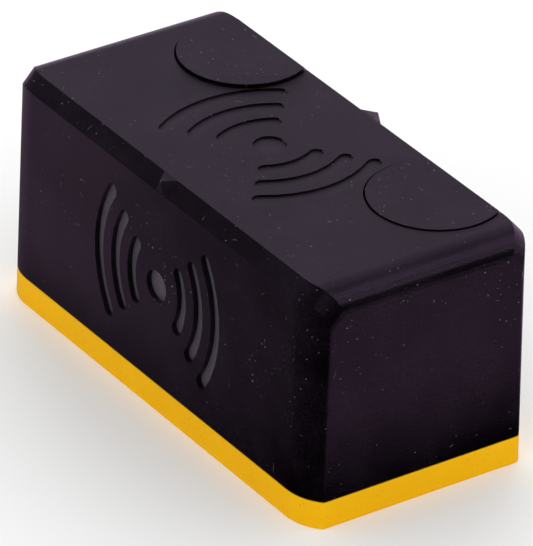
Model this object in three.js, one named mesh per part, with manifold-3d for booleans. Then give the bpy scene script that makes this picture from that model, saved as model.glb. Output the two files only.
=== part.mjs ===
// Circuit breaker finder: a pocket receiver block with a yellow base, two round push buttons on top
// and a recessed wave symbol on the top and on both long sides.
// Millimetres, +Z up. The origin is the middle of the flat base, X runs along the case,
// and the buttons stand at the +Y long edge.
import * as THREE from "three";
import { ConvexGeometry } from "three/addons/geometries/ConvexGeometry.js";
import { mergeGeometries, mergeVertices } from "three/addons/utils/BufferGeometryUtils.js";
import Module from "manifold-3d";

const wasm = await Module();
wasm.setup();

// Case: outside sizes.
const caseLength = 76.6;
const caseWidth = 37.2;
const caseHeight = 36.4;
const wall = 2;
const draftSlope = 0.0121; // each wall leans in this much per millimetre of height
const chamferInset = 1.9; // long top edges, measured across
const chamferDrop = 2.1; // long top edges, measured down
const endRollRadius = 3.5; // round between the top and each end wall
const cornerRadius = 7.7; // arc that leaves a long wall
const cornerReach = 5.6; // where that arc starts, measured from the end wall
const cornerEdgeRadius = 0.8; // small round where the arc meets the end wall

// Parting line between the black housing and the yellow base.
const seamHeight = 4.15;
const seamGap = 0.15;
const fitGap = 0.25; // between fixed neighbours
const seatGap = 0.1; // under a piece that is seated or soldered
const cutMargin = 1; // how far a cutter runs past the face it cuts

// Base and its lip.
const floorThickness = 2;
const lipThickness = 1.2;
const lipRise = 2.2;
const hookOffset = 20;
const hookLength = 6;
const hookReach = 0.6;
const hookHeight = 1;

// Wave symbol.
const dotRadius = 2.4;
const waveWidth = 2.1;
const waveFirst = 6.2; // middle of the first arc, from the dot's centre
const waveSpacing = 4.1;
const waveCount = 3;
const waveCentreShift = 2.7; // arcs are struck from this far behind the dot
const waveSpread = THREE.MathUtils.degToRad(39.7); // half angle of the fan, seen from the dot
const topWaveDepth = 0.3;
const sideWaveDepth = 0.8;
const sideWaveLift = 0.3; // how far the side symbol stands above the middle of its wall

// Centre marks on the long top edges.
const markHalfWidth = 1.65;
const markFootHalfWidth = 0.9;
const markTipDrop = 0.3;
const markRoot = 1; // how far the mark is buried in the case

// Push buttons.
const buttonRadius = 9.5;
const buttonEndDistance = 15.1; // from the end of the case
const buttonEdgeDistance = 7.3; // from the +Y side of the case
const buttonGap = 0.28;
const buttonTravel = 0.6;
const leftCapProud = 0.42; // how far each cap stands above the top
const rightCapProud = 0.16;
const capDepth = 5;
const capWall = 1.6;
const capPlate = 1.8;
const flangeReach = 0.9;
const flangeThickness = 1;
const flangeGap = 0.15;
const stemRadius = 2;

// Cells and their bay.
const cellDiameter = 10.5;
const cellLength = 44.5;
const cellNubLength = 0.8;
const cellNubRadius = 1.9;
const cellGap = 0.3;
const bayWall = 1.2;
const bayCentreY = 1.3;
const bayCentreX = -1.5;
const bayHeadroom = 0.6;

// Battery door, a dovetail slide.
const doorThickness = 1.6;
const doorRecess = 0.2;
const doorGap = 0.25;
const doorFlare = 0.7; // how much wider the door is at its upper face, each side
const doorCover = 0.1; // how far the door's upper face reaches under the bay's walls
const doorEndCover = 1;
const ridgeCount = 5;
const ridgeSpacing = 1.6;
const ridgeDepth = 0.35;
const ridgeLength = 14;

// Contacts.
const contactThickness = 0.4;
const contactWidth = 8;
const contactGap = 0.3;
const springLength = 5.2;
const springTurns = 3.5;
const springWireRadius = 0.35;
const springRootRadius = 3.4;
const springTipRadius = 2;
const tabWidth = 2.4;
const tabRise = 1.6;
const contactNubRadius = 1.5;
const contactNubRise = 0.5;

// Circuit board.
const boardThickness = 1.6;
const boardEndGap = 9.7; // from the outside of the case to the board's short edges
const boardSideGap = 3.9; // from the outside of the case to the board's long edges
const boardCornerRadius = 1.5;

// Pickup coils.
const coilFlange = 4; // half height of the side coil's end blocks
const coilFlangeThickness = 1.4;
const coilClearance = 0.7;
const sideCoilHalfLength = 9.6;
const sideCoreHalfLength = 14;
const sideCoreRadius = 2;
const bobbinWall = 0.6;
const windingThickness = 0.8;
const topCoreRadius = 2.3;
const topWindingThickness = 2;
const topFlangeRadius = 6;
const topFlangeThickness = 0.8;

// Switches and other parts on the board.
const switchSize = 6;
const switchHeight = 3.5;
const plungerRadius = 1.7;
const plungerRise = 1.3;
const plungerSink = 0.8;
const sounderRadius = 6;
const sounderHeight = 3.4;
const sounderPortRadius = 1.2;
const sounderPortDepth = 1;
const capacitorRadius = 3.15;
const capacitorHeight = 7;

const chipWidth = 3.9;
const chipHeight = 1.5;
const chipLegReach = 1;
const chipLegThickness = 0.25;
const chipLift = 0.1;
const processor = { x: -13, y: -7, length: 8.7, legs: 7 };
const amplifier = { x: -23.5, y: -3.5, length: 4.9, legs: 4 };
const sounderPlace = { x: 13, y: -6.5 };
const capacitorPlace = { x: 23.5, y: -3.5 };

// Screws, their bosses and the board posts.
const bossRadius = 2.6;
const bossEndDistance = 5.7; // from the outside of the end wall
const bossWeb = 1.1; // material between the battery door's slot and the screw head's hole
const bossBoreDepth = 12;
const screwShank = 1.1;
const screwBoreGap = 0.2;
const screwHeadRadius = 2;
const screwHeadHeight = 1.4;
const screwReach = 8;
const screwSeatHeight = 2.6; // underside of the head, above the table
const screwColumnRadius = 2.9;
const postRadius = 2.1;
const postEndDistance = 3.6; // from the board's end
const postSideDistance = 3.4; // from the board's long edge
const rearPostOffset = 8.5;
const boardScrewShank = 0.85;
const boardScrewHeadRadius = 1.7;
const boardScrewHeadHeight = 1.1;
const boardScrewReach = 4;
const crossWidth = 0.5;
const crossDepth = 0.7;

// Leads.
const leadRadius = 0.5;

// Smoothness.
const roundSteps = 32;
const smallRoundSteps = 12;
const filletSteps = 7;
const waveSteps = 4;
const springSteps = 42;
const leadSteps = 12;

const up = (x, y, z) => new THREE.Vector3(x, y, z);

// ---------- Solids ----------

// A closed geometry as a solid that can be joined and cut.
function solid(geometry) {
  const bare = geometry.index ? geometry.toNonIndexed() : geometry.clone();
  const shell = new THREE.BufferGeometry().setAttribute("position", bare.getAttribute("position"));
  const merged = mergeVertices(shell, 1e-4);
  return new wasm.Manifold(
    new wasm.Mesh({
      numProp: 3,
      vertProperties: merged.attributes.position.array,
      triVerts: new Uint32Array(merged.index.array),
    }),
  );
}

function geometryOf(made) {
  const mesh = made.getMesh();
  return new THREE.BufferGeometry()
    .setAttribute("position", new THREE.BufferAttribute(mesh.vertProperties, 3))
    .setIndex(new THREE.BufferAttribute(mesh.triVerts, 1));
}

// A box between two corners.
function box(low, high) {
  const size = high.clone().sub(low);
  const middle = low.clone().add(high).multiplyScalar(0.5);
  return solid(new THREE.BoxGeometry(size.x, size.y, size.z).translate(middle.x, middle.y, middle.z));
}

// An upright cylinder that stands between two heights.
function post(x, y, radius, bottom, top, steps = roundSteps) {
  const geometry = new THREE.CylinderGeometry(radius, radius, top - bottom, steps);
  return solid(geometry.rotateX(Math.PI / 2).translate(x, y, (bottom + top) / 2));
}

// A cylinder along Y.
function rod(x, z, radius, front, back, steps = roundSteps) {
  const geometry = new THREE.CylinderGeometry(radius, radius, back - front, steps);
  return solid(geometry.translate(x, (front + back) / 2, z));
}

// A cylinder along X.
function bar(y, z, radius, left, right, steps = roundSteps) {
  const geometry = new THREE.CylinderGeometry(radius, radius, right - left, steps);
  return solid(geometry.rotateZ(Math.PI / 2).translate((left + right) / 2, y, z));
}

function union(pieces) {
  return pieces.reduce((sum, piece) => sum.add(piece));
}

// ---------- Case shape ----------

// How far a long wall has turned in at a distance from the end wall: an arc of `radius` that
// starts `reach` away from the end wall and runs into a small round of `edge`.
function cornerDrop(distance, reach, radius, edge) {
  const join = reach - (radius * (reach - edge)) / (radius - edge);
  if (distance >= reach) return 0;
  if (distance >= join) return radius - Math.sqrt(radius ** 2 - (reach - distance) ** 2);
  const edgeCentre = radius - Math.sqrt((radius - edge) ** 2 - (reach - edge) ** 2);
  return edgeCentre - Math.sqrt(edge ** 2 - (edge - distance) ** 2);
}

// How far the top has rolled down at a distance from the end wall.
function rollDrop(distance, radius) {
  return distance >= radius ? 0 : radius - Math.sqrt(radius ** 2 - (radius - distance) ** 2);
}

// Distances from the end wall at which the corner and the roll need a section.
function endStations(reach, radius, edge, roll) {
  const joinAngle = Math.asin((reach - edge) / (radius - edge));
  const distances = [];
  for (let i = 0; i <= filletSteps; i++) {
    const share = i / filletSteps;
    const edgeAngle = joinAngle + share * (Math.PI / 2 - joinAngle);
    distances.push(roll * (1 - Math.sin((share * Math.PI) / 2)));
    distances.push(reach - radius * Math.sin(share * joinAngle));
    if (i % 2 === 0) distances.push(edge * (1 - Math.sin(edgeAngle)));
  }
  distances.sort((a, b) => a - b);
  const least = 0.03;
  return distances.filter((value, i) => i === 0 || value - distances[i - 1] > least);
}

// The outer shape of the case, moved in by `inset` on every side, with its top raised by `rise`.
// It is one chamfered section swept along X, narrowed at the corners, rolled down at the ends
// and leaning in with height.
function caseBlock(inset = 0, rise = 0) {
  const least = 0.1;
  const halfLength = caseLength / 2 - inset;
  const halfWidth = caseWidth / 2 - inset;
  const top = caseHeight - inset + rise;
  const bottom = -inset;
  const bevelLoss = inset * (2 - Math.SQRT2);
  const across = Math.max(chamferInset - bevelLoss, least) + (rise * chamferInset) / chamferDrop;
  const down = Math.max(chamferDrop - bevelLoss, least) + rise;
  const roll = Math.max(endRollRadius - inset, least) + rise;
  const edge = Math.max(cornerEdgeRadius - inset, least);
  const reach = cornerReach - inset;
  const radius = cornerRadius - inset;
  const ends = endStations(reach, radius, edge, roll);
  const stations = [...ends.map((d) => d - halfLength), ...ends.map((d) => halfLength - d).reverse()];
  const section = new THREE.Shape([
    new THREE.Vector2(-halfWidth, bottom),
    new THREE.Vector2(halfWidth, bottom),
    new THREE.Vector2(halfWidth, top - down),
    new THREE.Vector2(halfWidth - across, top),
    new THREE.Vector2(across - halfWidth, top),
    new THREE.Vector2(-halfWidth, top - down),
  ]);
  const steps = stations.length - 1;
  const geometry = new THREE.ExtrudeGeometry(section, { depth: steps, steps, bevelEnabled: false });
  const position = geometry.getAttribute("position");
  for (let i = 0; i < position.count; i++) {
    const x = stations[Math.round(position.getZ(i))];
    const distance = halfLength - Math.abs(x);
    const across = position.getX(i);
    const narrowed = Math.abs(across) - cornerDrop(distance, reach, radius, edge);
    const height = position.getY(i);
    const z = height > bottom ? height - rollDrop(distance, roll) : height;
    const y = Math.sign(across) * narrowed * (1 - (draftSlope * z) / halfWidth);
    position.setXYZ(i, x * (1 - (draftSlope * z) / halfLength), y, z);
  }
  return solid(geometry);
}

// The slice of a solid between two heights.
function slice(made, bottom, top) {
  const reach = caseLength;
  return made.intersect(box(up(-reach, -reach, bottom), up(reach, reach, top)));
}

// ---------- Wave symbol ----------

// One arc groove on the +X side of the dot, with round ends, drawn flat.
function waveShape(distance) {
  const radius = distance + waveCentreShift;
  const angle = waveSpread - Math.asin((waveCentreShift * Math.sin(waveSpread)) / radius);
  const half = waveWidth / 2;
  const endX = radius * Math.cos(angle) - waveCentreShift;
  const endY = radius * Math.sin(angle);
  const shape = new THREE.Shape();
  shape.absarc(-waveCentreShift, 0, radius + half, -angle, angle, false);
  shape.absarc(endX, endY, half, angle, angle + Math.PI, false);
  shape.absarc(-waveCentreShift, 0, radius - half, angle, -angle, true);
  shape.absarc(endX, -endY, half, Math.PI - angle, 2 * Math.PI - angle, false);
  return shape;
}

// Cutters for the whole symbol, lying in the XY plane: `depth` below it and a margin above it.
function waveCutters(depth) {
  const settings = { depth: depth + cutMargin, bevelEnabled: false, curveSegments: waveSteps };
  const grooves = [];
  for (let i = 0; i < waveCount; i++) {
    const groove = new THREE.ExtrudeGeometry(waveShape(waveFirst + i * waveSpacing), settings);
    grooves.push(groove, groove.clone().rotateZ(Math.PI));
  }
  const dot = new THREE.CylinderGeometry(dotRadius, dotRadius, depth + cutMargin, roundSteps);
  dot.rotateX(Math.PI / 2).translate(0, 0, (depth + cutMargin) / 2);
  const all = mergeGeometries([...grooves, dot].map((g) => (g.index ? g.toNonIndexed() : g)));
  return all.translate(0, 0, -depth);
}

const symbolHeight = (seamHeight + caseHeight - chamferDrop) / 2 + sideWaveLift;

// The symbol's cutters on the long side that faces `side` (-1 or 1) along Y.
function sideWaveCutters(side) {
  const geometry = waveCutters(sideWaveDepth).rotateX(Math.PI / 2);
  if (side > 0) geometry.rotateZ(Math.PI);
  const lean = Math.atan(draftSlope);
  geometry.rotateX(side * lean);
  return geometry.translate(0, side * (caseWidth / 2 - draftSlope * symbolHeight), symbolHeight);
}

// ---------- Heights and places that follow from the sizes above ----------

const topUnderside = caseHeight - wall;
const cellRadius = cellDiameter / 2;
const cellHeight = floorThickness + fitGap + cellRadius;
const bayTop = cellHeight + cellRadius + bayHeadroom + bayWall;
const bayHalfWidth = cellDiameter + cellGap / 2 + cellGap;
const bayHalfLength = (cellLength + springLength) / 2 + contactThickness + 2 * contactGap + fitGap;
const sideCoilHeight = bayTop + coilClearance + coilFlange;
const boardBottom = sideCoilHeight + coilFlange + fitGap;
const boardTop = boardBottom + boardThickness;
const boardHalfWidth = caseWidth / 2 - boardSideGap;
const boardHalfLength = caseLength / 2 - boardEndGap;
const buttonY = caseWidth / 2 - buttonEdgeDistance;
const buttonOffset = caseLength / 2 - buttonEndDistance;
const switchTop = boardTop + seatGap + switchHeight;
const plungerTop = switchTop + plungerRise;
const bossX = caseLength / 2 - bossEndDistance;
const bossY = bayCentreY - bayHalfWidth - doorCover - doorGap - bossWeb - fitGap - screwHeadRadius;
const lipTop = seamHeight + lipRise;
const postPlaces = [
  [postEndDistance - boardHalfLength, postSideDistance - boardHalfWidth],
  [boardHalfLength - postEndDistance, postSideDistance - boardHalfWidth],
  [-rearPostOffset, boardHalfWidth - postSideDistance],
  [rearPostOffset, boardHalfWidth - postSideDistance],
];

// ---------- Upper housing ----------

// A centre mark: a small wedge that bridges the chamfer of one long top edge.
function centreMark(side) {
  const sideWall = caseWidth / 2 - draftSlope * caseHeight;
  const crease = sideWall - chamferInset;
  const foot = caseHeight - chamferDrop;
  const corners = [-1, 1].flatMap((end) => [
    up(end * markHalfWidth, side * crease, caseHeight),
    up(end * markHalfWidth, side * (crease - markRoot), caseHeight),
    up(end * markFootHalfWidth, side * sideWall, foot),
    up(end * markFootHalfWidth, side * (sideWall - markRoot), foot - markRoot),
  ]);
  corners.push(up(0, side * sideWall, caseHeight - markTipDrop));
  return solid(new ConvexGeometry(corners));
}

// Room for one button cap through the top and the back wall.
function buttonOpening(side) {
  const bottom = caseHeight - capDepth - buttonTravel - fitGap;
  const radius = buttonRadius + buttonGap;
  return post(side * buttonOffset, buttonY, radius, bottom, caseHeight + cutMargin, roundSteps * 2);
}

// A boss for a case screw, tied to both walls of its corner.
function screwBoss(side) {
  const x = side * bossX;
  const bottom = lipTop + fitGap;
  const ribHalf = bossRadius / 4;
  const outX = side * (caseLength / 2 - wall / 2);
  const outY = -(caseWidth / 2 - wall / 2);
  const rib = box(
    up(Math.min(x, outX), bossY - ribHalf, bottom + lipRise),
    up(Math.max(x, outX), bossY + ribHalf, topUnderside + wall / 2),
  );
  const web = box(
    up(x - ribHalf, outY, bottom + lipRise),
    up(x + ribHalf, bossY, topUnderside + wall / 2),
  );
  return union([post(x, bossY, bossRadius, bottom, topUnderside + wall / 2, smallRoundSteps), rib, web]);
}

function upperHousing() {
  const bottom = seamHeight + seamGap;
  const outside = slice(caseBlock(), bottom, caseHeight + cutMargin);
  const inside = slice(caseBlock(wall), 0, caseHeight);
  let made = outside.subtract(inside);
  for (const side of [-1, 1]) {
    made = made.add(screwBoss(side)).add(centreMark(side));
  }
  for (const [x, y] of postPlaces) {
    made = made.add(post(x, y, postRadius, boardTop + seatGap, topUnderside + wall / 2, smallRoundSteps));
  }
  made = made.intersect(slice(caseBlock(), 0, caseHeight + cutMargin).add(centreMark(-1)).add(centreMark(1)));
  made = made.subtract(solid(waveCutters(topWaveDepth).translate(0, 0, caseHeight)));
  for (const side of [-1, 1]) {
    made = made.subtract(solid(sideWaveCutters(side)));
    made = made.subtract(buttonOpening(side));
    made = made.subtract(hook(side, fitGap));
    const bore = screwShank + screwBoreGap;
    const boreTop = lipTop + fitGap + bossBoreDepth;
    made = made.subtract(post(side * bossX, bossY, bore, seamHeight, boreTop, smallRoundSteps));
  }
  for (const [x, y] of postPlaces) {
    const bore = boardScrewShank + screwBoreGap;
    made = made.subtract(post(x, y, bore, boardBottom, boardTop + boardScrewReach + fitGap, smallRoundSteps));
  }
  return made;
}

// ---------- Base ----------

// A hook on the back of the base's lip, or with a gap round it the pocket that it snaps into.
function hook(side, gap = 0) {
  const inner = caseWidth / 2 - wall - fitGap - lipThickness / 2;
  const outer = caseWidth / 2 - wall + hookReach;
  return box(
    up(side * hookOffset - hookLength / 2 - gap, inner, lipTop - hookHeight - gap),
    up(side * hookOffset + hookLength / 2 + gap, outer + gap, lipTop + gap),
  );
}

// The dovetail section of the door, or of its slot when `gap` is given, running from the -X end.
function dovetail(from, to, gap, bottom, top) {
  const halfAtTop = bayHalfWidth + doorCover + gap;
  const slope = doorFlare / doorThickness;
  const halfAt = (z) => halfAtTop - slope * (doorRecess + doorThickness - z);
  const section = new THREE.Shape([
    new THREE.Vector2(bayCentreY - halfAt(bottom), bottom),
    new THREE.Vector2(bayCentreY + halfAt(bottom), bottom),
    new THREE.Vector2(bayCentreY + halfAt(top), top),
    new THREE.Vector2(bayCentreY - halfAt(top), top),
  ]);
  const geometry = new THREE.ExtrudeGeometry(section, { depth: to - from, bevelEnabled: false });
  const turn = new THREE.Matrix4().makeBasis(up(0, 1, 0), up(0, 0, 1), up(1, 0, 0));
  return solid(geometry.applyMatrix4(turn).translate(from, 0, 0));
}

const doorRight = bayCentreX + bayHalfLength + doorEndCover;

function screwColumn(side) {
  return post(side * bossX, bossY, screwColumnRadius, 0, lipTop, smallRoundSteps);
}

// The battery bay as a block that starts at `bottom`, with its sides and its ceiling moved out by `grow`.
function bayBlock(grow, bottom) {
  const halfLength = bayHalfLength + grow;
  const halfWidth = bayHalfWidth + grow;
  return box(
    up(bayCentreX - halfLength, bayCentreY - halfWidth, bottom),
    up(bayCentreX + halfLength, bayCentreY + halfWidth, bayTop - bayWall + grow),
  );
}

function basePlate() {
  const shell = slice(caseBlock(), 0, seamHeight);
  const lip = slice(caseBlock(wall + fitGap), floorThickness, lipTop);
  const hollow = slice(caseBlock(wall + fitGap + lipThickness), floorThickness, lipTop + cutMargin);
  const bridge = box(
    up(-caseLength / 2 + wall + fitGap, bayCentreY - bayHalfWidth - bayWall - doorGap, floorThickness / 2),
    up(bayCentreX - bayHalfLength, bayCentreY + bayHalfWidth + bayWall + doorGap, seamHeight),
  );
  let made = shell.add(lip).subtract(hollow).add(bridge).add(bayBlock(bayWall, floorThickness / 2));
  for (const side of [-1, 1]) {
    made = made.add(screwColumn(side).intersect(shell.add(lip))).add(hook(side));
  }
  made = made.subtract(bayBlock(0, 0));
  made = made.subtract(
    dovetail(-caseLength / 2 - cutMargin, doorRight + doorGap, doorGap, -cutMargin, floorThickness),
  );
  made = made.subtract(doorEndCut());
  for (const side of [-1, 1]) {
    const x = side * bossX;
    const through = screwShank + screwBoreGap;
    const headHole = screwHeadRadius + fitGap;
    made = made.subtract(post(x, bossY, headHole, -cutMargin, screwSeatHeight, smallRoundSteps));
    made = made.subtract(post(x, bossY, through, 0, lipTop + cutMargin, smallRoundSteps));
    made = made.subtract(tabSlot(side));
  }
  return made;
}

// A slot in the bay's ceiling for the solder tab of one contact at the -X end.
function tabSlot(side) {
  const x = contactFace(-1);
  const y = bayCentreY + side * (cellRadius + cellGap / 2);
  return box(
    up(x - contactThickness - fitGap, y - tabWidth / 2 - fitGap, bayTop - bayWall - cutMargin),
    up(x + fitGap, y + tabWidth / 2 + fitGap, bayTop + cutMargin),
  );
}

// ---------- Battery door ----------

// The notch in the base's end wall that the door's upturned end fills.
function doorEndCut() {
  const half = bayHalfWidth + doorCover + doorGap;
  return box(
    up(-caseLength, bayCentreY - half, 0),
    up(-caseLength / 2 + wall + fitGap, bayCentreY + half, seamHeight + cutMargin),
  );
}

function batteryDoor() {
  const top = doorRecess + doorThickness;
  const panel = dovetail(-caseLength / 2, doorRight, 0, doorRecess, top);
  const half = bayHalfWidth + doorCover;
  const end = box(
    up(-caseLength / 2, bayCentreY - half, doorRecess),
    up(-caseLength / 2 + wall, bayCentreY + half, seamHeight),
  );
  let made = panel.add(end).intersect(slice(caseBlock(), 0, seamHeight));
  for (let i = 0; i < ridgeCount; i++) {
    const x = -caseLength / 2 + wall + (i + 1) * ridgeSpacing;
    const groove = new THREE.CylinderGeometry(ridgeDepth, ridgeDepth, ridgeLength, smallRoundSteps);
    made = made.subtract(solid(groove.translate(x, bayCentreY, doorRecess)));
  }
  return made;
}

// ---------- Buttons ----------

function buttonCap(side, proud) {
  const x = side * buttonOffset;
  const bottom = caseHeight - capDepth;
  const top = caseHeight + cutMargin;
  const skirt = post(x, buttonY, buttonRadius, bottom, top, roundSteps * 2).intersect(caseBlock(0, proud));
  const flangeTop = topUnderside - flangeGap;
  const flange = post(x, buttonY, buttonRadius + flangeReach, flangeTop - flangeThickness, flangeTop);
  const room = caseBlock(wall + fitGap);
  const hollow = post(x, buttonY, buttonRadius - capWall, bottom - cutMargin, caseHeight - capPlate);
  const inside = hollow.intersect(caseBlock(capWall));
  const stem = post(x, buttonY, stemRadius, plungerTop + seatGap, caseHeight - capPlate / 2, smallRoundSteps);
  return skirt.add(flange.intersect(room)).subtract(inside).add(stem);
}

// ---------- Switches ----------

function switchBody(side) {
  const half = switchSize / 2;
  const x = side * buttonOffset;
  const base = boardTop + seatGap;
  const body = box(up(x - half, buttonY - half, base), up(x + half, buttonY + half, switchTop));
  const hole = plungerRadius + fitGap;
  const depth = switchTop - plungerSink - buttonTravel - fitGap;
  return body.subtract(post(x, buttonY, hole, depth, switchTop + cutMargin, smallRoundSteps));
}

function switchPlunger(side) {
  return post(
    side * buttonOffset, buttonY, plungerRadius, switchTop - plungerSink, plungerTop, smallRoundSteps,
  );
}

// ---------- Circuit board ----------

function circuitBoard() {
  const r = boardCornerRadius;
  const shape = new THREE.Shape();
  const corners = [
    [1, 1, 0],
    [-1, 1, 1],
    [-1, -1, 2],
    [1, -1, 3],
  ];
  for (const [sx, sy, quarter] of corners) {
    const start = (quarter * Math.PI) / 2;
    shape.absarc(sx * (boardHalfLength - r), sy * (boardHalfWidth - r), r, start, start + Math.PI / 2, false);
  }
  const settings = { depth: boardThickness, bevelEnabled: false, curveSegments: 2 };
  let made = solid(new THREE.ExtrudeGeometry(shape, settings).translate(0, 0, boardBottom));
  for (const [x, y] of postPlaces) {
    const hole = boardScrewShank + screwBoreGap;
    made = made.subtract(
      post(x, y, hole, boardBottom - cutMargin, boardTop + cutMargin, smallRoundSteps),
    );
  }
  return made;
}

// A flat chip with legs on both long sides.
function chip({ x, y, length, legs }) {
  const legWidth = length / legs / 2;
  const base = boardTop + seatGap;
  const half = chipWidth / 2;
  const pieces = [
    box(up(x - length / 2, y - half, base + chipLift), up(x + length / 2, y + half, base + chipHeight)),
  ];
  for (let i = 0; i < legs; i++) {
    const legX = x + ((i + 0.5) / legs - 0.5) * length;
    pieces.push(
      box(
        up(legX - legWidth / 2, y - half - chipLegReach, base),
        up(legX + legWidth / 2, y + half + chipLegReach, base + chipLegThickness),
      ),
    );
  }
  return union(pieces);
}

function sounder({ x, y }) {
  const base = boardTop + seatGap;
  const top = base + sounderHeight;
  return post(x, y, sounderRadius, base, top).subtract(
    post(x, y, sounderPortRadius, top - sounderPortDepth, top + cutMargin, smallRoundSteps),
  );
}

// An electrolytic can with the crimped waist near its foot, turned about Z.
function capacitor({ x, y }) {
  const waistHeight = 1.2;
  const waistDepth = 0.35;
  const edge = 0.4;
  const profile = [
    [0, 0],
    [capacitorRadius, 0],
    [capacitorRadius, waistHeight - waistDepth],
    [capacitorRadius - waistDepth, waistHeight],
    [capacitorRadius, waistHeight + waistDepth],
    [capacitorRadius, capacitorHeight - edge],
    [capacitorRadius - edge, capacitorHeight],
    [0, capacitorHeight],
  ].map(([r, z]) => new THREE.Vector2(r, z));
  const geometry = new THREE.LatheGeometry(profile, roundSteps).rotateX(Math.PI / 2);
  return solid(geometry.translate(x, y, boardTop + seatGap));
}

// ---------- Pickup coils ----------

const sideTubeRadius = sideCoreRadius + fitGap + bobbinWall;
const topTubeRadius = topCoreRadius + fitGap + bobbinWall;
const topCoilBottom = boardTop + seatGap;
const topCoilTop = topUnderside - fitGap;

function sideCoilBobbin() {
  const pieces = [rod(0, sideCoilHeight, sideTubeRadius, -sideCoilHalfLength, sideCoilHalfLength)];
  for (const side of [-1, 1]) {
    const y = side * (sideCoilHalfLength + coilFlangeThickness / 2);
    pieces.push(
      box(
        up(-coilFlange, y - coilFlangeThickness / 2 - seatGap, sideCoilHeight - coilFlange),
        up(coilFlange, y + coilFlangeThickness / 2 + seatGap, sideCoilHeight + coilFlange),
      ),
    );
  }
  const reach = sideCoilHalfLength + coilFlangeThickness + cutMargin;
  return union(pieces).subtract(rod(0, sideCoilHeight, sideCoreRadius + fitGap, -reach, reach));
}

function sideCoilCore() {
  return rod(0, sideCoilHeight, sideCoreRadius, -sideCoreHalfLength, sideCoreHalfLength);
}

// The side winding is left open where its two ends leave it, on the side that faces the board.
function sideCoilWinding() {
  const reach = sideCoilHalfLength - fitGap;
  const inner = sideTubeRadius + fitGap;
  return rod(0, sideCoilHeight, inner + windingThickness, -reach, reach).subtract(
    rod(0, sideCoilHeight, inner, -reach - cutMargin, reach + cutMargin),
  );
}

function topCoilBobbin() {
  const pieces = [
    post(0, 0, topTubeRadius, topCoilBottom, topCoilTop),
    post(0, 0, topFlangeRadius, topCoilBottom, topCoilBottom + topFlangeThickness),
    post(0, 0, topFlangeRadius, topCoilTop - topFlangeThickness, topCoilTop),
  ];
  return union(pieces).subtract(
    post(0, 0, topCoreRadius + fitGap, topCoilBottom - cutMargin, topCoilTop + cutMargin),
  );
}

function topCoilCore() {
  return post(0, 0, topCoreRadius, topCoilBottom, topCoilTop);
}

function topCoilWinding() {
  const inner = topTubeRadius + fitGap;
  const bottom = topCoilBottom + topFlangeThickness + fitGap;
  const top = topCoilTop - topFlangeThickness - fitGap;
  return post(0, 0, inner + topWindingThickness, bottom, top).subtract(
    post(0, 0, inner, bottom - cutMargin, top + cutMargin),
  );
}

// ---------- Cells and contacts ----------

// X of the contact plate's face that looks at the cells, at the end that `end` names.
function contactFace(end) {
  return bayCentreX + end * (bayHalfLength - fitGap - contactThickness);
}

function cellY(side) {
  return bayCentreY + side * (cellRadius + cellGap / 2);
}

// One AAA cell. The cell at +Y has its nub at -X, and the other one the opposite way.
function cell(side) {
  const nubEnd = contactFace(-side) + side * (contactGap + contactNubRise);
  const shoulder = nubEnd + side * cellNubLength;
  const foot = nubEnd + side * cellLength;
  const body = bar(cellY(side), cellHeight, cellRadius, Math.min(shoulder, foot), Math.max(shoulder, foot));
  const inward = shoulder + side * cutMargin;
  const left = Math.min(nubEnd, inward);
  const right = Math.max(nubEnd, inward);
  return body.add(bar(cellY(side), cellHeight, cellNubRadius, left, right, smallRoundSteps));
}

// The middle line of a cone-shaped spring that stands on a contact plate and points along X.
class SpringLine extends THREE.Curve {
  constructor(root, direction, y, z) {
    super();
    Object.assign(this, { root, direction, y, z });
  }

  getPoint(t, target = new THREE.Vector3()) {
    const angle = 2 * Math.PI * springTurns * t;
    const radius = springRootRadius + (springTipRadius - springRootRadius) * t;
    const run = springLength - 2 * springWireRadius;
    return target.set(
      this.root + this.direction * run * t,
      this.y + radius * Math.cos(angle),
      this.z + radius * Math.sin(angle),
    );
  }
}

function contactSpring(side, end) {
  const root = contactFace(end);
  const line = new SpringLine(root, -end, cellY(side), cellHeight);
  const wire = new THREE.Shape().absarc(0, 0, springWireRadius, 0, 2 * Math.PI, false);
  const settings = { steps: springSteps, curveSegments: 3, bevelEnabled: false, extrudePath: line };
  return solid(new THREE.ExtrudeGeometry(wire, settings));
}

// A flat contact across the cells between two Y values, standing at one end of the bay.
function contactPlate(end, low, high) {
  const face = contactFace(end);
  const back = face + end * contactThickness;
  const half = contactWidth / 2;
  return box(
    up(Math.min(face, back), low, cellHeight - half),
    up(Math.max(face, back), high, cellHeight + half),
  );
}

function contactNub(side, end) {
  const face = contactFace(end);
  const tip = face - end * contactNubRise;
  const root = face + (end * contactThickness) / 2;
  const left = Math.min(tip, root);
  const right = Math.max(tip, root);
  return bar(cellY(side), cellHeight, contactNubRadius, left, right, smallRoundSteps);
}

// The tab that leads a contact at the -X end up through the bay's ceiling.
function solderTab(side) {
  const face = contactFace(-1);
  return box(
    up(face - contactThickness, cellY(side) - tabWidth / 2, cellHeight),
    up(face, cellY(side) + tabWidth / 2, bayTop + tabRise),
  );
}

function singlePlate(side) {
  const half = contactWidth / 2;
  return contactPlate(-1, cellY(side) - half, cellY(side) + half).add(solderTab(side));
}

function positiveContact() {
  return singlePlate(1).add(contactNub(1, -1));
}

function negativeContact() {
  return singlePlate(-1).add(contactSpring(-1, -1));
}

function bridgeContact() {
  const half = contactWidth / 2;
  return contactPlate(1, cellY(-1) - half, cellY(1) + half)
    .add(contactNub(-1, 1))
    .add(contactSpring(1, 1));
}

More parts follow.
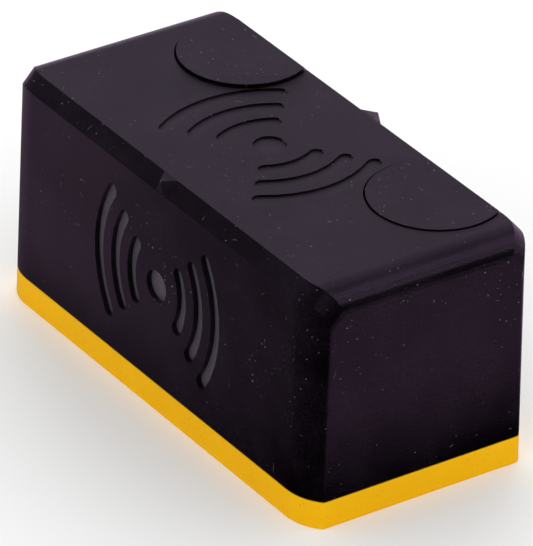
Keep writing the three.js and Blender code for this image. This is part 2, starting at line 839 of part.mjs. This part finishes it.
// A short insulated lead from a contact's tab up to the underside of the board.
function batteryLead(side) {
  const y = cellY(side);
  const startX = contactFace(-1) + leadRadius + fitGap;
  const start = bayTop + fitGap;
  const end = boardBottom - fitGap;
  const bow = 2;
  const line = new THREE.CatmullRomCurve3([
    up(startX, y, start),
    up(startX, y, start + bow),
    up(startX + bow, y, (start + end) / 2),
    up(startX + bow, y, end - bow),
    up(startX + bow, y, end),
  ]);
  const wire = new THREE.Shape().absarc(0, 0, leadRadius, 0, 2 * Math.PI, false);
  const settings = { steps: leadSteps, curveSegments: 4, bevelEnabled: false, extrudePath: line };
  return solid(new THREE.ExtrudeGeometry(wire, settings));
}

// ---------- Screws ----------

// A pan-head screw that points up: its head hangs below `seat`, with a cross cut in the head.
function screw(x, y, seat, shank, reach, headRadius, headHeight) {
  const bottom = seat - headHeight;
  const crown = headHeight / 3;
  const profile = [
    [0, bottom],
    [headRadius - crown, bottom],
    [headRadius, bottom + crown],
    [headRadius, seat],
    [shank, seat],
    [shank, seat + reach - shank],
    [shank / 3, seat + reach],
    [0, seat + reach],
  ].map(([r, z]) => new THREE.Vector2(r, z));
  const turned = solid(new THREE.LatheGeometry(profile, smallRoundSteps).rotateX(Math.PI / 2));
  const arm = headRadius * 0.6;
  const half = crossWidth / 2;
  const cross = box(up(-arm, -half, bottom - cutMargin), up(arm, half, bottom + crossDepth)).add(
    box(up(-half, -arm, bottom - cutMargin), up(half, arm, bottom + crossDepth)),
  );
  return turned.subtract(cross).translate([x, y, 0]);
}

function caseScrew(side) {
  const seat = screwSeatHeight - seatGap;
  return screw(side * bossX, bossY, seat, screwShank, screwReach, screwHeadRadius, screwHeadHeight);
}

function boardScrew(x, y) {
  const seat = boardBottom - seatGap;
  const reach = boardThickness + boardScrewReach;
  return screw(x, y, seat, boardScrewShank, reach, boardScrewHeadRadius, boardScrewHeadHeight);
}

// ---------- Finishes and assembly ----------

const finishes = {
  blackPlastic: () => ({ color: 0x1a161b, roughness: 0.55, metalness: 0 }),
  yellowPlastic: () => ({ color: 0xe2ab0a, roughness: 0.5, metalness: 0 }),
  darkPlastic: () => ({ color: 0x101012, roughness: 0.5, metalness: 0 }),
  greyPlastic: () => ({ color: 0x6d6f72, roughness: 0.5, metalness: 0 }),
  board: () => ({ color: 0x14603a, roughness: 0.45, metalness: 0 }),
  ferrite: () => ({ color: 0x2b2b2e, roughness: 0.7, metalness: 0.2 }),
  copper: () => ({ color: 0xb4652d, roughness: 0.35, metalness: 1 }),
  steel: () => ({ color: 0xc2c4c6, roughness: 0.35, metalness: 1 }),
  aluminium: () => ({ color: 0xd0d2d5, roughness: 0.3, metalness: 1 }),
  cellWrap: () => ({ color: 0x2f4f86, roughness: 0.4, metalness: 0.2 }),
  redWire: () => ({ color: 0xb0201c, roughness: 0.5, metalness: 0 }),
  blackWire: () => ({ color: 0x17171a, roughness: 0.5, metalness: 0 }),
};

const group = new THREE.Group();

function addPiece(name, made, finish) {
  const mesh = new THREE.Mesh(geometryOf(made), new THREE.MeshStandardMaterial(finishes[finish]()));
  mesh.name = name;
  group.add(mesh);
}

const sideNames = [
  ["left", -1],
  ["right", 1],
];

addPiece("upper_housing", upperHousing(), "blackPlastic");
addPiece("base_plate", basePlate(), "yellowPlastic");
addPiece("battery_door", batteryDoor(), "yellowPlastic");
addPiece("left_button_cap", buttonCap(-1, leftCapProud), "blackPlastic");
addPiece("right_button_cap", buttonCap(1, rightCapProud), "blackPlastic");
for (const [name, side] of sideNames) {
  addPiece(`${name}_switch_body`, switchBody(side), "darkPlastic");
  addPiece(`${name}_switch_plunger`, switchPlunger(side), "greyPlastic");
  addPiece(`${name}_case_screw`, caseScrew(side), "steel");
}
addPiece("circuit_board", circuitBoard(), "board");
postPlaces.forEach(([x, y], i) => addPiece(`board_screw_${i + 1}`, boardScrew(x, y), "steel"));
addPiece("top_coil_core", topCoilCore(), "ferrite");
addPiece("top_coil_bobbin", topCoilBobbin(), "darkPlastic");
addPiece("top_coil_winding", topCoilWinding(), "copper");
addPiece("side_coil_core", sideCoilCore(), "ferrite");
addPiece("side_coil_bobbin", sideCoilBobbin(), "darkPlastic");
addPiece("side_coil_winding", sideCoilWinding(), "copper");
addPiece("microcontroller", chip(processor), "darkPlastic");
addPiece("signal_amplifier", chip(amplifier), "darkPlastic");
addPiece("sounder", sounder(sounderPlace), "darkPlastic");
addPiece("smoothing_capacitor", capacitor(capacitorPlace), "aluminium");
addPiece("rear_cell", cell(1), "cellWrap");
addPiece("front_cell", cell(-1), "cellWrap");
addPiece("positive_contact", positiveContact(), "steel");
addPiece("negative_contact", negativeContact(), "steel");
addPiece("bridge_contact", bridgeContact(), "steel");
addPiece("positive_lead", batteryLead(1), "redWire");
addPiece("negative_lead", batteryLead(-1), "blackWire");

export default group;
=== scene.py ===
"""Looks for the circuit breaker finder: materials, softened edges, studio light and the camera.
Metres, +Z up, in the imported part's frame."""

import math

import bpy
from mathutils import Matrix, Vector


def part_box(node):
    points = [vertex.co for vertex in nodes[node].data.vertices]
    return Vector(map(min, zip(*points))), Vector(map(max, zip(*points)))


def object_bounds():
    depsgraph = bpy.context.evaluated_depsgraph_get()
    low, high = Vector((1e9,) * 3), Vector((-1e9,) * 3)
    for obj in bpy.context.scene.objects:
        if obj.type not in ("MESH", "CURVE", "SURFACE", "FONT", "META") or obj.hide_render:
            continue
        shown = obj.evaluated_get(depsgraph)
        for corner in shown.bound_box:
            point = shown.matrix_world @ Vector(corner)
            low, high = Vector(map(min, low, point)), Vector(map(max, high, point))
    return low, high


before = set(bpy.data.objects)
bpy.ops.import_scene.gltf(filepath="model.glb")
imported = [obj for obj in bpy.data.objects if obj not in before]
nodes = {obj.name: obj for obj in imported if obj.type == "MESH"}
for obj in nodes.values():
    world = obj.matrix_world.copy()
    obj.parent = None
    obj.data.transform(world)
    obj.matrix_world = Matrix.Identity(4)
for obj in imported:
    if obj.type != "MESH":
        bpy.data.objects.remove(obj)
cad_low, cad_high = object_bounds()

MM = 0.001
EDGE_ROUND = 0.12 * MM
FLAT_WITHIN = math.radians(0.3)  # faces that differ less than this count as one
SHARP_FROM = math.radians(35)  # edges at least this sharp are rounded
FLOOR_GAP = 0.02 * MM  # between the base and the floor
HOUSING_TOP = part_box("upper_housing")[1].z

# The moulded texture, and how far it has worn.
GRAIN = 0.28 * MM  # one grain
SPECKLE = 0.19 * MM
DUST_SIZE = 0.28 * MM
CLOUD_SIZE = 7 * MM  # how wide the clouds of dust are
PATCH_SIZE = 9 * MM  # how wide the patches that handling leaves are
HAIR_WANDER = 6 * MM
HAIR_LENGTH = 1.5 * MM
HAIR_STRENGTH = 0.55

# The wave symbols. Their floors are found by depth below the skin.
WALL_LEAN = 0.0121  # how much the long walls lean in per metre of height
SYMBOL_REACH = 19 * MM  # from the middle of the case to the end of a symbol
SIDE_RECESS = 0.5 * MM
TOP_RECESS = 0.12 * MM
TOP_RECESS_SHARE = 0.12  # how much of the painted light on the floors the shallow top ones take
FLAT = 0.97  # a normal at least this much along an axis belongs to a flat floor

WIRE_PITCH = 0.25 * MM
WAVES_PER_UNIT = 20 / (2 * math.pi)  # of a wave texture at scale 1

# Linear colours.
DEEP_BLACK = (0.0002, 0.0, 0.0003, 1)
CLOUDY_BLACK = (0.0022, 0.0014, 0.0024, 1)
SPECKLE_GREY = (0.014, 0.008, 0.015, 1)
# Painted highlight: the recess floors are made this lighter grey to stand in for the light they catch.
RECESS_PAINTED_LIGHT = (0.078, 0.066, 0.084, 1)
DUST_GREY = (0.20, 0.18, 0.21, 1)
YELLOW = (0.90, 0.475, 0.0006, 1)
DEEP_YELLOW = (0.87, 0.445, 0.0006, 1)
YELLOW_FLECK = (0.55, 0.24, 0.01, 1)
SOLDER_MASK = (0.006, 0.085, 0.03, 1)
TRACK_GREEN = (0.02, 0.20, 0.08, 1)
COPPER = (0.60, 0.16, 0.04, 1)
OLD_COPPER = (0.42, 0.09, 0.02, 1)
WRAP_BLUE = (0.02, 0.06, 0.22, 1)
WRAP_GOLD = (0.55, 0.42, 0.16, 1)
FERRITE_DARK = (0.015, 0.015, 0.018, 1)
FERRITE_LIGHT = (0.06, 0.06, 0.065, 1)
PALE_FLOOR = (0.90, 0.90, 0.90, 1)
PALER_FLOOR = (0.92, 0.92, 0.92, 1)


# ---------- Material helpers ----------


class Tree:
    """A node tree, with short ways to add nodes to it."""

    def __init__(self, node_tree):
        self.node_tree = node_tree

    def add(self, kind, links=None, **settings):
        """A new node, with each socket in `links` joined to an output or set to a value."""
        node = self.node_tree.nodes.new(kind)
        for name, value in settings.items():
            setattr(node, name, value)
        for socket, source in (links or {}).items():
            if isinstance(source, bpy.types.NodeSocket):
                self.node_tree.links.new(source, node.inputs[socket])
            else:
                node.inputs[socket].default_value = source
        return node

    def ramp(self, value, low, high, out_low=0.0, out_high=1.0):
        """A value moved from the range low..high to out_low..out_high, and held inside it."""
        links = {"Value": value, "From Min": low, "From Max": high, "To Min": out_low, "To Max": out_high}
        return self.add("ShaderNodeMapRange", links).outputs["Result"]

    def math(self, operation, first, second=0.0):
        """One step of arithmetic. A step on a single value ignores the second."""
        return self.add("ShaderNodeMath", {0: first, 1: second}, operation=operation).outputs[0]

    def product(self, first, *others):
        for other in others:
            first = self.math("MULTIPLY", first, other)
        return first

    def greatest(self, first, *others):
        for other in others:
            first = self.math("MAXIMUM", first, other)
        return first

    def along(self, vector, axis):
        """How far a vector reaches along an axis."""
        links = {0: vector, 1: axis}
        return self.add("ShaderNodeVectorMath", links, operation="DOT_PRODUCT").outputs["Value"]

    def split(self, vector):
        """The X, Y and Z of a vector."""
        return self.add("ShaderNodeSeparateXYZ", {"Vector": vector}).outputs


class Shader(Tree):
    """A material's node tree with one Principled shader."""

    def __init__(self, name, **sockets):
        self.material = bpy.data.materials.new(name)
        self.material.use_nodes = True
        super().__init__(self.material.node_tree)
        self.principled = self.node_tree.nodes["Principled BSDF"]
        for socket, value in sockets.items():
            self.principled.inputs[socket.replace("_", " ")].default_value = value
        self.place = self.add("ShaderNodeTexCoord").outputs["Object"]
        self.facing = self.add("ShaderNodeNewGeometry").outputs["True Normal"]

    def stretched(self, x, y, z):
        """The object's coordinates, scaled along each axis."""
        return self.add("ShaderNodeMapping", {"Vector": self.place, "Scale": (x, y, z)}).outputs["Vector"]

    def noise(self, size, detail=2.0, place=None, roughness=0.5):
        """Smooth noise whose features are about `size` metres wide."""
        links = {"Vector": place or self.place, "Scale": 1 / size, "Detail": detail, "Roughness": roughness}
        return self.add("ShaderNodeTexNoise", links).outputs["Fac"]

    def mix(self, factor, first, second):
        """A colour between two colours."""
        return self.add("ShaderNodeMix", {0: factor, 6: first, 7: second}, data_type="RGBA").outputs[2]

    def bump(self, height, depth):
        """Shades the surface as if it rose by `height` times `depth` metres."""
        node = self.add("ShaderNodeBump", {"Height": height, "Distance": depth, "Strength": 1.0})
        self.node_tree.links.new(node.outputs["Normal"], self.principled.inputs["Normal"])

    def set(self, socket, source):
        """Links an output to a socket of the Principled shader."""
        self.node_tree.links.new(source, self.principled.inputs[socket])


def dust_specks(shader, size, fewest, most):
    """1 on scattered specks narrower than `size`, and 0 elsewhere. They gather in loose clouds."""
    dots = shader.noise(size, detail=0.0)
    threshold = shader.ramp(shader.noise(CLOUD_SIZE), 0.35, 0.7, fewest, most)
    return shader.ramp(shader.math("SUBTRACT", dots, threshold), 0.0, 0.02)


def lint_hairs(shader):
    """Above 0 on a few short thin hairs, and 0 elsewhere."""
    lines = shader.noise(HAIR_WANDER, detail=0.0)
    from_line = shader.math("ABSOLUTE", shader.math("SUBTRACT", lines, 0.5))
    thin = shader.ramp(from_line, 0.0032, 0.0010)
    islands = shader.noise(HAIR_LENGTH, detail=0.0, place=shader.stretched(1, 1.1, 0.9))
    return shader.product(thin, shader.ramp(islands, 0.74, 0.76, 0.0, HAIR_STRENGTH))


def grained_plastic(shader, roughness, grain_depth):
    """Bumps the moulded grain. Returns the patches that handling leaves, and a roughness to match."""
    grain = shader.noise(GRAIN, detail=3.0, roughness=0.6)
    shader.bump(shader.ramp(grain, 0.35, 0.65), grain_depth)
    patches = shader.noise(PATCH_SIZE, detail=3.0)
    return patches, shader.ramp(patches, 0.3, 0.7, roughness - 0.03, roughness + 0.05)


def recess_floor_painted_light(shader):
    """1 on the floors of the side symbols, less on those of the top symbol, and 0 elsewhere. Lighter grey is
    painted there as a highlight.
    """
    place = shader.split(shader.place)
    facing = shader.split(shader.facing)
    from_middle = shader.math("ABSOLUTE", place["X"])
    near_middle = shader.ramp(from_middle, SYMBOL_REACH + 0.5 * MM, SYMBOL_REACH)
    depth = shader.math("SUBTRACT", cad_high.y, shader.math("ABSOLUTE", place["Y"]))
    depth = shader.math("SUBTRACT", depth, shader.product(place["Z"], WALL_LEAN))
    side_floor = shader.product(
        shader.ramp(depth, SIDE_RECESS, SIDE_RECESS + 0.1 * MM),
        shader.ramp(shader.math("ABSOLUTE", facing["Y"]), FLAT, FLAT + 0.01),
    )
    top_floor = shader.product(
        shader.ramp(place["Z"], HOUSING_TOP - TOP_RECESS, HOUSING_TOP - TOP_RECESS - 0.08 * MM),
        shader.ramp(facing["Z"], FLAT, FLAT + 0.01),
        TOP_RECESS_SHARE,
    )
    return shader.product(near_middle, shader.greatest(side_floor, top_floor))


def black_plastic():
    """Black grained plastic with a violet cast, lint and dust, and a painted highlight of lighter grey on
    the recess floors.
    """
    shader = Shader("black_grained_plastic", Specular_IOR_Level=0.5, Specular_Tint=(0.96, 0.76, 1.0, 1.0))
    patches, roughness = grained_plastic(shader, roughness=0.20, grain_depth=0.021 * MM)
    speckle = shader.product(
        shader.ramp(shader.noise(SPECKLE, detail=1.0), 0.46, 0.80),
        shader.ramp(patches, 0.38, 0.62, 0.1, 1.0),
    )
    base = shader.mix(shader.ramp(patches, 0.40, 0.65), DEEP_BLACK, CLOUDY_BLACK)
    base = shader.mix(speckle, base, SPECKLE_GREY)
    # A painted highlight: the recess floors are turned lighter grey, standing in for the light they catch.
    base = shader.mix(recess_floor_painted_light(shader), base, RECESS_PAINTED_LIGHT)
    marks = shader.greatest(dust_specks(shader, DUST_SIZE, fewest=0.88, most=0.815), lint_hairs(shader))
    shader.set("Base Color", shader.mix(marks, base, DUST_GREY))
    shader.set("Roughness", shader.greatest(roughness, shader.product(marks, 0.9)))
    return shader.material


def yellow_plastic():
    """Yellow grained plastic, a little darker and rougher in patches, with a few brown flecks."""
    shader = Shader("yellow_grained_plastic", Specular_IOR_Level=0.08)
    patches, roughness = grained_plastic(shader, roughness=0.48, grain_depth=0.010 * MM)
    base = shader.mix(shader.ramp(patches, 0.35, 0.7), YELLOW, DEEP_YELLOW)
    flecks = dust_specks(shader, 0.25 * MM, fewest=0.80, most=0.77)
    shader.set("Base Color", shader.mix(flecks, base, YELLOW_FLECK))
    shader.set("Roughness", roughness)
    return shader.material


def plain_plastic(name, colour, roughness):
    """Smooth moulded plastic with faint flow marks."""
    shader = Shader(name)
    flow = shader.noise(1.2 * MM, detail=4.0, place=shader.stretched(1, 1, 0.4))
    darker = tuple(0.7 * c for c in colour[:3]) + (1,)
    shader.set("Base Color", shader.mix(shader.ramp(flow, 0.3, 0.7), colour, darker))
    shader.set("Roughness", shader.ramp(flow, 0.3, 0.7, roughness - 0.06, roughness + 0.06))
    shader.bump(flow, 0.01 * MM)
    return shader.material


def brushed_metal(name, colour, roughness, tint):
    """Plated or bare metal with fine drawn lines and light staining."""
    shader = Shader(name, Metallic=1.0, Anisotropic=0.3)
    lines = shader.noise(0.08 * MM, detail=2.0, place=shader.stretched(1, 0.12, 1))
    stain = shader.noise(1.8 * MM, detail=3.0)
    shader.set("Base Color", shader.mix(shader.ramp(stain, 0.4, 0.75), colour, tint))
    shader.set("Roughness", shader.ramp(lines, 0.3, 0.7, roughness - 0.08, roughness + 0.1))
    shader.bump(lines, 0.004 * MM)
    return shader.material


def circuit_board_material():
    """Green solder mask over copper tracks, which show as lighter raised lines."""
    shader = Shader("solder_mask", Coat_Weight=0.4, Coat_Roughness=0.2)
    cells = shader.add(
        "ShaderNodeTexVoronoi",
        {"Vector": shader.stretched(1, 1, 0.01), "Scale": 1 / (3.2 * MM)},
        distance="CHEBYCHEV",
        feature="DISTANCE_TO_EDGE",
    )
    tracks = shader.ramp(cells.outputs["Distance"], 0.10, 0.06)
    weave = shader.noise(0.3 * MM, detail=2.0)
    shader.set("Base Color", shader.mix(tracks, SOLDER_MASK, TRACK_GREEN))
    shader.set("Roughness", shader.ramp(weave, 0.3, 0.7, 0.3, 0.42))
    shader.bump(shader.math("ADD", shader.product(weave, 0.15), tracks), 0.03 * MM)
    return shader.material


def winding_material(name, axis):
    """Enamelled copper wire: one ridge for each turn along the coil's axis."""
    shader = Shader(name, Metallic=1.0, Coat_Weight=0.5, Coat_Roughness=0.15)
    wave = shader.add(
        "ShaderNodeTexWave",
        {"Vector": shader.place, "Scale": 1 / (WIRE_PITCH * WAVES_PER_UNIT), "Distortion": 0.3},
        bands_direction=axis,
    )
    turns = wave.outputs["Fac"]
    age = shader.noise(2 * MM, detail=2.0)
    shader.set("Base Color", shader.mix(age, COPPER, OLD_COPPER))
    shader.set("Roughness", shader.ramp(turns, 0, 1, 0.45, 0.22))
    shader.bump(turns, 0.09 * MM)
    return shader.material


def cell_wrap_material():
    """Creased foil wrap: blue with a gold end."""
    shader = Shader("cell_wrap", Metallic=0.6, Coat_Weight=0.5, Coat_Roughness=0.12)
    creases = shader.noise(1.5 * MM, detail=3.0, place=shader.stretched(0.2, 1, 1))
    band = shader.ramp(shader.split(shader.place)["X"], 11 * MM, 11.3 * MM)
    shader.set("Base Color", shader.mix(band, WRAP_BLUE, WRAP_GOLD))
    shader.set("Roughness", shader.ramp(creases, 0.3, 0.7, 0.22, 0.38))
    shader.bump(creases, 0.02 * MM)
    return shader.material


def ferrite_material():
    """Dark fired ferrite with fine pores."""
    shader = Shader("ferrite", Specular_IOR_Level=0.6)
    pores = shader.noise(0.15 * MM, detail=5.0, roughness=0.7)
    shader.set("Base Color", shader.mix(pores, FERRITE_DARK, FERRITE_LIGHT))
    shader.set("Roughness", shader.ramp(pores, 0.3, 0.7, 0.45, 0.75))
    shader.bump(pores, 0.03 * MM)
    return shader.material


finishes = {
    "black": black_plastic(),
    "yellow": yellow_plastic(),
    "dark": plain_plastic("dark_plastic", (0.008, 0.008, 0.009, 1), 0.4),
    "grey": plain_plastic("grey_plastic", (0.16, 0.17, 0.18, 1), 0.45),
    "epoxy": plain_plastic("chip_epoxy", (0.012, 0.012, 0.013, 1), 0.6),
    "steel": brushed_metal("zinc_plated_steel", (0.60, 0.61, 0.63, 1), 0.3, (0.50, 0.48, 0.40, 1)),
    "nickel": brushed_metal("nickel_plated_steel", (0.66, 0.64, 0.60, 1), 0.22, (0.55, 0.52, 0.45, 1)),
    "can": brushed_metal("aluminium_can", (0.72, 0.73, 0.75, 1), 0.25, (0.62, 0.63, 0.66, 1)),
    "board": circuit_board_material(),
    "winding_z": winding_material("copper_winding_upright", "Z"),
    "winding_y": winding_material("copper_winding_across", "Y"),
    "wrap": cell_wrap_material(),
    "ferrite": ferrite_material(),
    "red": plain_plastic("red_insulation", (0.45, 0.012, 0.010, 1), 0.5),
    "lead_black": plain_plastic("black_insulation", (0.010, 0.010, 0.011, 1), 0.5),
}

node_finish = {
    "upper_housing": "black",
    "left_button_cap": "black",
    "right_button_cap": "black",
    "base_plate": "yellow",
    "battery_door": "yellow",
    "circuit_board": "board",
    "top_coil_core": "ferrite",
    "side_coil_core": "ferrite",
    "top_coil_winding": "winding_z",
    "side_coil_winding": "winding_y",
    "microcontroller": "epoxy",
    "signal_amplifier": "epoxy",
    "smoothing_capacitor": "can",
    "rear_cell": "wrap",
    "front_cell": "wrap",
    "positive_contact": "nickel",
    "negative_contact": "nickel",
    "bridge_contact": "nickel",
    "positive_lead": "red",
    "negative_lead": "lead_black",
    "left_switch_plunger": "grey",
    "right_switch_plunger": "grey",
}


def soften(piece, width):
    """Rounds the sharp edges of a CAD node a little, and shades its faces smoothly."""
    flat = piece.modifiers.new("merge_flats", "DECIMATE")
    flat.decimate_type = "DISSOLVE"
    flat.angle_limit = FLAT_WITHIN
    bevel = piece.modifiers.new("edge_round", "BEVEL")
    bevel.width = width
    bevel.segments = 2
    bevel.limit_method = "ANGLE"
    bevel.angle_limit = SHARP_FROM
    bevel.harden_normals = True
    bevel.use_clamp_overlap = True
    for polygon in piece.data.polygons:
        polygon.use_smooth = True


def dress_nodes():
    """Gives every CAD node its material and its soft edges."""
    for name, piece in nodes.items():
        key = node_finish.get(name)
        if key is None:
            key = "steel" if "screw" in name else "dark"
        piece.data.materials.clear()
        piece.data.materials.append(finishes[key])
        soften(piece, EDGE_ROUND)


# ---------- Studio ----------

# Where the patches of light that glossy faces mirror come from.
KEY_BACK_LEFT = Vector((-0.70, 0.50, 0.51))
BACKDROP = Vector((-0.70, 0.50, -0.30))
FRONT_LEFT = Vector((-0.78, -0.46, 0.42))
OVERHEAD = Vector((-0.15, 0.45, 0.88))
UPPER_RIGHT = Vector((0.62, 0.50, 0.60))
FRONT_RIGHT = Vector((0.64, -0.64, 0.42))
LOW_FRONT = Vector((-0.32, -0.93, 0.20))

EVEN_LIGHT = 1.06  # the world's strength for matt faces
WORLD_TINT = (0.97, 0.83, 1.06, 1)
FLOOR_TINT = (1.0, 0.70, 1.04, 1)
LEVEL_BACK_LEFT = Vector((-0.818, 0.576, 0))  # along the floor

# How brightly glossy faces mirror each part of the floor.
LEFT_GLOW = 0.37
RIGHT_GLOW = 0.41
BACK_LEFT_GLOW = 0.6
REAR_GLOW = 0.5
FRONT_GLOW = 0.32
LEAST_GLOW = 0.01

LAMP_DISTANCE = 1.1  # metres from the middle of the floor


def lobe(tree, direction, axis, inner, outer, strength):
    """A round patch of light: full inside `inner` degrees of its axis, none past `outer`."""
    links = {
        "Value": tree.along(direction, axis.normalized()),
        "From Min": math.cos(math.radians(outer)),
        "From Max": math.cos(math.radians(inner)),
        "To Min": 0.0,
        "To Max": strength,
    }
    return tree.add("ShaderNodeMapRange", links, interpolation_type="SMOOTHSTEP").outputs["Result"]


def make_world():
    """Even white light for matt faces, and soft patches of light for glossy ones."""
    world = bpy.data.worlds.new("studio")
    bpy.context.scene.world = world
    world.use_nodes = True
    world.node_tree.nodes.clear()
    tree = Tree(world.node_tree)
    direction = tree.add("ShaderNodeTexCoord").outputs["Generated"]
    patches = [
        lobe(tree, direction, KEY_BACK_LEFT, inner=18, outer=45, strength=0.27),
        lobe(tree, direction, BACKDROP, inner=10, outer=45, strength=0.6),
        lobe(tree, direction, FRONT_LEFT, inner=8, outer=30, strength=0.14),
        lobe(tree, direction, OVERHEAD, inner=10, outer=40, strength=0.34),
        lobe(tree, direction, UPPER_RIGHT, inner=20, outer=25, strength=0.88),
        lobe(tree, direction, FRONT_RIGHT, inner=10, outer=21, strength=0.35),
        lobe(tree, direction, LOW_FRONT, inner=6, outer=20, strength=0.25),
    ]
    total = 0.0
    for patch in patches:
        total = tree.math("ADD", patch, total)
    paths = tree.add("ShaderNodeLightPath").outputs
    glossy = tree.add("ShaderNodeBackground", {"Color": WORLD_TINT, "Strength": total})
    even = tree.add("ShaderNodeBackground", {"Color": (1, 1, 1, 1), "Strength": EVEN_LIGHT})
    links = {0: paths["Is Glossy Ray"], 1: even.outputs[0], 2: glossy.outputs[0]}
    lit = tree.add("ShaderNodeMixShader", links)
    tree.add("ShaderNodeOutputWorld", {"Surface": lit.outputs[0]})


def floor_glow(shader):
    """How brightly glossy faces mirror each spot of the floor. It is dark off the right front corner."""
    spot = shader.split(shader.place)
    x = spot["X"]
    y = spot["Y"]
    away = shader.along(shader.place, LEVEL_BACK_LEFT)
    near_long_wall = shader.ramp(y, -50 * MM, -33 * MM)
    far_left = shader.ramp(x, -50 * MM, -78 * MM, 0.0, 0.65)
    # The last factor dims the glow close to the long wall: a painted shadow of the case, which darkens the
    # low part of the wall where glossy faces mirror it.
    left = shader.product(
        shader.ramp(x, 30 * MM, -50 * MM, 0.0, LEFT_GLOW),
        shader.ramp(x, -250 * MM, -120 * MM),
        shader.greatest(near_long_wall, far_left),
        shader.ramp(y, -22 * MM, -33 * MM, 0.35, 1.0),
    )
    right = shader.product(
        shader.ramp(x, 48 * MM, 62 * MM, 0.0, RIGHT_GLOW),
        shader.ramp(x, 106 * MM, 86 * MM),
        shader.ramp(y, -40 * MM, -12 * MM),
    )
    back_left = shader.ramp(away, 45 * MM, 110 * MM, 0.0, BACK_LEFT_GLOW)
    rear = shader.product(shader.ramp(y, 24 * MM, 50 * MM, 0.0, REAR_GLOW), shader.ramp(x, 60 * MM, 40 * MM))
    front = shader.ramp(y, -88 * MM, -130 * MM, 0.0, FRONT_GLOW)
    sides = shader.math("ADD", left, shader.greatest(right, LEAST_GLOW))
    return shader.greatest(sides, shader.greatest(back_left, rear, front))


def make_floor():
    """A pale floor. Glossy faces mirror it as a dark table with patches of light on it."""
    bpy.ops.mesh.primitive_plane_add(size=8, location=(0, 0, cad_low.z - FLOOR_GAP))
    floor = bpy.context.object
    floor.name = "studio_floor"
    shader = Shader("studio_floor", Roughness=0.9, Specular_IOR_Level=0.2)
    tone = shader.noise(0.4, detail=1.0)
    shader.set("Base Color", shader.mix(tone, PALE_FLOOR, PALER_FLOOR))
    glow = shader.add("ShaderNodeEmission", {"Color": FLOOR_TINT, "Strength": floor_glow(shader)})
    paths = shader.add("ShaderNodeLightPath").outputs
    links = {0: paths["Is Glossy Ray"], 1: shader.principled.outputs[0], 2: glow.outputs[0]}
    mixed = shader.add("ShaderNodeMixShader", links)
    output = shader.node_tree.nodes["Material Output"]
    shader.node_tree.links.new(mixed.outputs[0], output.inputs["Surface"])
    floor.data.materials.append(shader.material)


def make_key_light():
    """A soft lamp above and behind on the left, for gentle shadows on the floor."""
    data = bpy.data.lights.new("soft_box", "AREA")
    data.size = 0.7  # metres
    data.energy = 2.5  # watts
    lamp = bpy.data.objects.new("soft_box", data)
    lamp.location = KEY_BACK_LEFT.normalized() * LAMP_DISTANCE
    lamp.rotation_euler = KEY_BACK_LEFT.to_track_quat("Z", "Y").to_euler()
    lamp.visible_glossy = False
    bpy.context.scene.collection.objects.link(lamp)


def make_camera():
    """A long lens at the height and side that shows the top, one long side and one end."""
    azimuth = math.radians(54.85)
    elevation = math.radians(30.75)
    roll = math.radians(1.77)
    distance = 996.5 * MM
    drop = 2.0 * MM  # how far below the middle of the object the lens points
    right = Vector((math.cos(azimuth), math.sin(azimuth), 0))
    level_back = Vector((math.sin(azimuth), -math.cos(azimuth), 0))
    back = level_back * math.cos(elevation) + Vector((0, 0, math.sin(elevation)))
    up = back.cross(right)
    rolled_right = right * math.cos(roll) + up * math.sin(roll)
    rolled_up = up * math.cos(roll) - right * math.sin(roll)
    housing_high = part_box("upper_housing")[1]
    middle = Vector((0, 0, housing_high.z / 2))
    data = bpy.data.cameras.new("camera")
    data.lens = 473.7  # millimetres, as is the sensor
    data.sensor_width = 36
    data.clip_start = 0.01
    data.clip_end = 20
    camera = bpy.data.objects.new("camera", data)
    place = middle + back * distance - rolled_up * drop
    turn = Matrix((rolled_right, rolled_up, back)).transposed()
    camera.matrix_world = Matrix.Translation(place) @ turn.to_4x4()
    bpy.context.scene.collection.objects.link(camera)
    bpy.context.scene.camera = camera


dress_nodes()
make_world()
make_floor()
make_key_light()
make_camera()
bpy.context.scene.view_settings.view_transform = "Standard"
